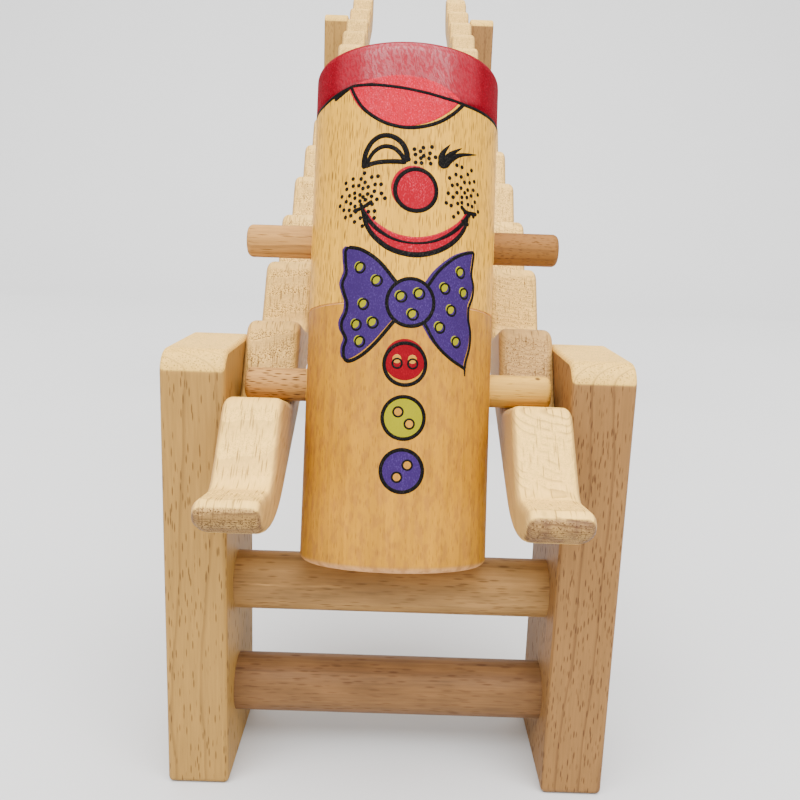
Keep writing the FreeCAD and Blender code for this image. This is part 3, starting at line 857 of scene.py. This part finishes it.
class PrintNoseAndMouth(bpy.types.Operator):
    """Round red nose and a broad smile with red lips."""
    bl_idname = "clown_toy.print_nose_and_mouth"
    bl_label = "Print nose and mouth"

    def execute(self, context):
        prints = Print(context.scene)
        radius = prints.sizes.nose_radius / MM
        prints.piece("nose_colour", [prints.disc(NOSE_CENTRE, radius + 0.35, shift=(-0.6, 0.45))], "red")
        prints.piece("nose_line", [prints.ring(NOSE_CENTRE, radius, 1.0)], "black")
        upper = flowing([(-10.7, 20.9), (-8.8, 18.1), (-6.1, 15.6), (-2.6, 13.8), (1.5, 13.2), (5.6, 13.9),
                         (9.6, 15.9), (12.9, 18.6), (15.0, 21.4)])
        lower = flowing([(-10.7, 20.9), (-9.5, 17.2), (-7.1, 14.1), (-3.4, 11.6), (1.5, 10.6), (6.2, 11.6),
                         (10.6, 14.2), (13.8, 17.8), (15.0, 21.4)])
        share = np.linspace(0, 1, len(upper))
        belly = np.sin(math.pi * share)
        lips = (upper + lower) / 2 + np.stack([0.35 * np.cos(math.pi * share), 0.55 * belly], axis=-1)
        prints.piece("lips_colour", [line(moved(lips, prints.offset - 0.1, 0.15), 0.7 + 3.3 * belly ** 0.8,
                                          prints.fill_lift)], "red")
        corner = 0.55 + 0.75 * np.abs(np.cos(math.pi * share)) ** 2 * belly ** 0.3
        left_tick = flowing([(-13.2, 20.7), (-10.8, 21.3), (-8.3, 22.7)])
        right_tick = flowing([(12.6, 23.0), (14.6, 21.9), (18.0, 22.1)])
        prints.piece("smile_lines", [prints.line(upper, corner), prints.line(lower, 0.95 + 0.3 * belly),
                                     prints.line(left_tick, 0.9), prints.line(right_tick, 0.95)], "black")
        return {"FINISHED"}


# Fields of freckles: centre, half width and half height in millimetres, and number of dots
FRECKLE_FIELDS = (((-11.0, 23.4), (6.2, 6.4), 50), ((3.0, 32.9), (3.5, 3.0), 15), ((13.4, 25.6), (5.4, 7.4), 38))
# No freckle this near the nose's centre, nor below the mouth's corners this near its middle
NOSE_CLEARANCE, MOUTH_CLEARANCE, MOUTH_CORNERS = 6.2, 9.0, 22.0


class PrintFreckles(bpy.types.Operator):
    """Small black freckles on the cheeks and between the eyes."""
    bl_idname = "clown_toy.print_freckles"
    bl_label = "Print freckles"

    def execute(self, context):
        prints = Print(context.scene)
        radius = prints.sizes.freckle_radius / MM
        rng = np.random.default_rng(4)
        dots = np.vstack([freckle_places(*field, rng) for field in FRECKLE_FIELDS])
        clear = (np.linalg.norm(dots - NOSE_CENTRE, axis=1) > NOSE_CLEARANCE) & (
            (np.abs(dots[:, 0] - NOSE_CENTRE[0]) > MOUTH_CLEARANCE) | (dots[:, 1] > MOUTH_CORNERS))
        prints.piece("freckles", [prints.disc(dot, radius, prints.line_lift, count=12) for dot in dots[clear]],
                     "black")
        return {"FINISHED"}


def freckle_places(centre, reach, count, rng):
    """Sunflower pattern with a little shake: turn = k golden angle, distance = reach (k / count)^0.62."""
    k = np.arange(count) + 0.5
    turn = k * math.pi * (3 - math.sqrt(5))
    out = (k / count) ** 0.62
    places = np.stack([reach[0] * out * np.cos(turn), reach[1] * out * np.sin(turn)], axis=-1)
    return np.asarray(centre) + places + rng.uniform(-0.22, 0.22, (count, 2))


# Outline of the bow tie's wings in millimetres, each in runs that meet in its corners; the second lies at the knot
LEFT_WING = [[(-14.0, 12.6), (-10.4, 11.7), (-6.2, 8.9), (-2.1, 4.15)],
             [(-2.1, 4.15), (-3.4, 0.0), (-2.3, -4.2)],
             [(-2.3, -4.2), (-6.3, -9.1), (-9.6, -12.0), (-12.6, -13.3), (-14.1, -12.6), (-14.4, -10.4),
              (-13.8, -8.4), (-15.0, -6.2), (-15.2, -4.4), (-14.1, -2.3), (-13.9, -0.1), (-14.9, 2.4),
              (-15.4, 4.4), (-14.4, 6.8), (-14.7, 9.6), (-14.8, 11.8), (-14.0, 12.6)]]
RIGHT_WING = [[(17.4, 13.1), (15.0, 12.5), (11.3, 10.8), (7.4, 7.4), (4.8, 3.7)],
              [(4.8, 3.7), (6.2, 0.0), (4.25, -4.35)],
              [(4.25, -4.35), (7.2, -9.0), (10.9, -12.0), (15.3, -14.0)],
              [(15.3, -14.0), (15.6, -12.3), (16.7, -9.0), (16.9, -5.6), (16.1, -2.8), (16.1, 0.0), (17.3, 2.8),
               (17.5, 5.2), (16.7, 7.8), (17.0, 10.4), (17.4, 13.1)]]
BOW_DOTS = [(-10.7, 7.7), (-6.6, 4.6), (-9.6, -0.6), (-11.2, -5.2), (-7.2, -4.8), (-10.2, -9.0), (-1.0, 1.1),
            (3.0, 1.9), (1.7, -2.8), (13.2, 7.7), (9.1, 3.6), (14.4, 3.1), (10.9, -1.2), (8.1, -5.3), (12.5, -8.2)]
KNOT_CENTRE = (1.1, -0.1)
# Each wing with its centre and the width of its outline
WINGS = ((LEFT_WING, (-9.0, 0.0), 0.85), (RIGHT_WING, (11.5, -0.5), 0.75))


class PrintBowTie(bpy.types.Operator):
    """Purple bow tie with yellow dots, across both halves of the body."""
    bl_idname = "clown_toy.print_bow_tie"
    bl_label = "Print bow tie"

    def execute(self, context):
        prints = Print(context.scene)
        knot, radius = prints.sizes.knot_radius / MM, prints.sizes.dot_radius / MM
        colours, lines = [], []
        for wing, centre, width in WINGS:
            runs = [flowing(run) for run in wing]
            edge = np.vstack([run[:-1] for run in runs])
            wide = centre + (edge - centre) * (1.05, 1.0)
            colours.append(prints.fill(wide, centre, shift=(-0.7, 0.35)))
            lines += [prints.line(run, width) for run in (runs[0], *runs[2:])]
        lines.append(prints.line([(15.3, -14.0), (15.4, -15.7)], [0.75, 0.35]))
        lines.append(prints.ring(KNOT_CENTRE, knot, 0.85))
        colours.append(prints.disc(KNOT_CENTRE, knot, prints.fill_lift * 1.3, (-0.25, 0.35)))
        prints.piece("bow_tie_colour", colours, "purple")
        prints.piece("bow_tie_lines", lines, "black")
        prints.piece("bow_tie_dots", [prints.disc(dot, radius * 0.95, prints.fill_lift * 1.8, (-0.45, 0.35), 24)
                                      for dot in BOW_DOTS], "yellow")
        prints.piece("bow_tie_dot_rings", [prints.ring(dot, radius, 0.5, 24) for dot in BOW_DOTS], "black")
        return {"FINISHED"}


# The three buttons: centre, ink, misprint of the colour, and the two thread holes, in millimetres
BUTTONS = [((0.3, -13.85), "deep_red", (-0.1, 1.0), ((-1.45, -13.75), (2.0, -13.75))),
           ((0.3, -25.75), "yellow", (0.0, 0.05), ((-0.9, -24.45), (1.65, -27.05))),
           ((0.3, -37.4), "purple", (0.0, 0.05), ((1.5, -36.1), (-0.75, -38.8)))]


class PrintButtons(bpy.types.Operator):
    """Red, yellow and purple buttons with two thread holes each."""
    bl_idname = "clown_toy.print_buttons"
    bl_label = "Print buttons"

    def execute(self, context):
        prints = Print(context.scene)
        radius = prints.sizes.button_radius / MM
        lines, holes = [], []
        for centre, colour, shift, pair in BUTTONS:
            prints.piece(f"{colour}_button_colour", [prints.disc(centre, radius - 0.05, shift=shift)], colour,
                         "lower")
            lines.append(prints.ring(centre, radius, 0.85))
            for hole in pair:
                lines.append(prints.ring(hole, 1.05, 0.48, 24))
                holes.append(prints.disc(hole, 1.0, prints.fill_lift * 1.5, shift, 24))
        make_piece("button_holes", holes, bpy.data.materials["lower_body_beech"])
        prints.piece("button_lines", lines, "black", "lower")
        return {"FINISHED"}


# The camera's place in metres, and how far it looks down, turns to the left and rolls
CAMERA_PLACE = (-0.0004598, -0.4093367, 0.1411491)
CAMERA_PITCH, CAMERA_YAW, CAMERA_ROLL = (math.radians(angle) for angle in (11.740, -0.285, 1.969))
# Width of the picture in pixels, of the sensor in millimetres, and half the floor's width in metres
PICTURE_WIDTH, SENSOR_WIDTH, FLOOR_REACH = 800, 36.0, 4.0


class SetStage(bpy.types.Operator):
    """Pale floor, soft lights and the camera."""
    bl_idname = "clown_toy.set_stage"
    bl_label = "Set stage"

    def execute(self, context):
        stage, scene = context.scene.clown_stage, context.scene
        floor_finish = Finish("floor_paper")
        haze = floor_finish.noise(floor_finish.place.stretch(6.0), 2.0)
        tone = floor_finish.mix(haze, stage.floor_colour, tuple(0.97 * value for value in stage.floor_colour))
        floor_finish.close(tone, 0.8, haze, 0.1 * MM)
        x, y = np.meshgrid(*[np.linspace(-FLOOR_REACH, FLOOR_REACH, 3)] * 2, indexing="ij")
        floor = make_piece("floor", [(np.stack([x, y, np.zeros_like(x)], axis=-1), False, False)],
                           floor_finish.owner, body=None)
        backdrop = make_piece("backdrop", [sweep(FLOOR_REACH, start=1.1, radius=0.9, height=1.5)],
                              floor_finish.owner, body=None)
        add_light("front_light", (0.0, -2.2, 3.4), (0.0, -0.2, 0.1), (8.0, 2.4), stage.front_power)
        add_light("top_light", (0.0, 0.0, 4.0), (0.0, 0.0, 0.1), (4.0, 4.0), stage.top_power)
        scene.world = pale_room(stage.room_light)
        camera = bpy.data.cameras.new("camera")
        camera.sensor_width = SENSOR_WIDTH
        camera.lens = stage.focal_pixels * SENSOR_WIDTH / PICTURE_WIDTH
        viewer = bpy.data.objects.new("camera", camera)
        right, forward, up = np.array(
            Matrix.Rotation(CAMERA_ROLL, 3, "Y") @ Matrix.Rotation(CAMERA_PITCH, 3, "X")
            @ Matrix.Rotation(-CAMERA_YAW, 3, "Z"))
        viewer.matrix_world = Matrix([(right[i], up[i], -forward[i], CAMERA_PLACE[i]) for i in range(3)]
                                     + [(0.0, 0.0, 0.0, 1.0)])
        scene.collection.objects.link(viewer)
        scene.camera = viewer
        return {"FINISHED"}


def pale_room(strength):
    """World of even light from all sides."""
    room = Finish("pale_room", world=True)
    light = room.node("ShaderNodeBackground", (), {"Color": (1.0, 1.0, 1.0), "Strength": strength})
    room.node("ShaderNodeOutputWorld", (), {"Surface": light})
    return room.owner


def sweep(half_width, start, radius, height):
    """Grid of a paper backdrop: it lies flat up to its start, follows a quarter circle and ends upright.

    In the circle, depth = start + radius sin turn and height = radius (1 - cos turn). Its front edge lies 4 mm
    below the floor, and a second layer 0.2 mm behind it closes the sheet.
    """
    turn = np.linspace(0, math.pi / 2, 33)
    depth = np.concatenate([[start - 0.6], start + radius * np.sin(turn), [start + radius]])
    rise = np.concatenate([[-4.0 * MM], radius * (1 - np.cos(turn)) + 0.4 * MM, [height]])
    x = np.array((-half_width, half_width))
    front = np.stack([np.broadcast_to(x, (len(depth), 2)), np.repeat(depth[:, None], 2, 1),
                      np.repeat(rise[:, None], 2, 1)], axis=-1)
    back = front + np.array((0.0, 0.2 * MM, -0.2 * MM))
    return np.concatenate([front, back[:, ::-1]], axis=1), False, True


def add_light(name, place, target, size, power):
    """Soft rectangular light at a place, turned to a target."""
    light = bpy.data.lights.new(name, "AREA")
    light.shape = "RECTANGLE"
    light.size, light.size_y = size
    light.energy = power
    lamp = bpy.data.objects.new(name, light)
    lamp.location = place
    lamp.rotation_euler = (Vector(target) - Vector(place)).to_track_quat("-Z", "Y").to_euler()
    bpy.context.scene.collection.objects.link(lamp)


OPERATORS = (FinishPosts, FinishRails, FinishBars, FinishBody, FinishPegs, AddCollars, PaintCap, PrintEyes,
             PrintNoseAndMouth, PrintFreckles, PrintBowTie, PrintButtons, SetStage)


class ClownToyPanel(bpy.types.Panel):
    """Buttons and settings of the toy."""
    bl_idname = "VIEW3D_PT_clown_toy"
    bl_label = "Tumbling clown"
    bl_space_type = "VIEW_3D"
    bl_region_type = "UI"
    bl_category = "Clown Toy"

    def draw(self, context):
        for operator in OPERATORS:
            self.layout.operator(operator.bl_idname)
        for name in SETTINGS:
            group = getattr(context.scene, name)
            for key in group.__annotations__:
                self.layout.prop(group, key)


SETTINGS = {"clown_wood": WoodColours, "clown_paint": PaintColours, "clown_print": PrintSizes,
            "clown_stage": StageSettings}
CLASSES = (*SETTINGS.values(), *OPERATORS, ClownToyPanel)


def register():
    for cls in CLASSES:
        bpy.utils.register_class(cls)
    for name, group in SETTINGS.items():
        setattr(bpy.types.Scene, name, PointerProperty(type=group))


def unregister():
    for name in SETTINGS:
        delattr(bpy.types.Scene, name)
    for cls in reversed(CLASSES):
        bpy.utils.unregister_class(cls)


def main():
    register()
    for operator in OPERATORS:
        group, name = operator.bl_idname.split(".")
        getattr(getattr(bpy.ops, group), name)()


if __name__ == "__main__":
    main()
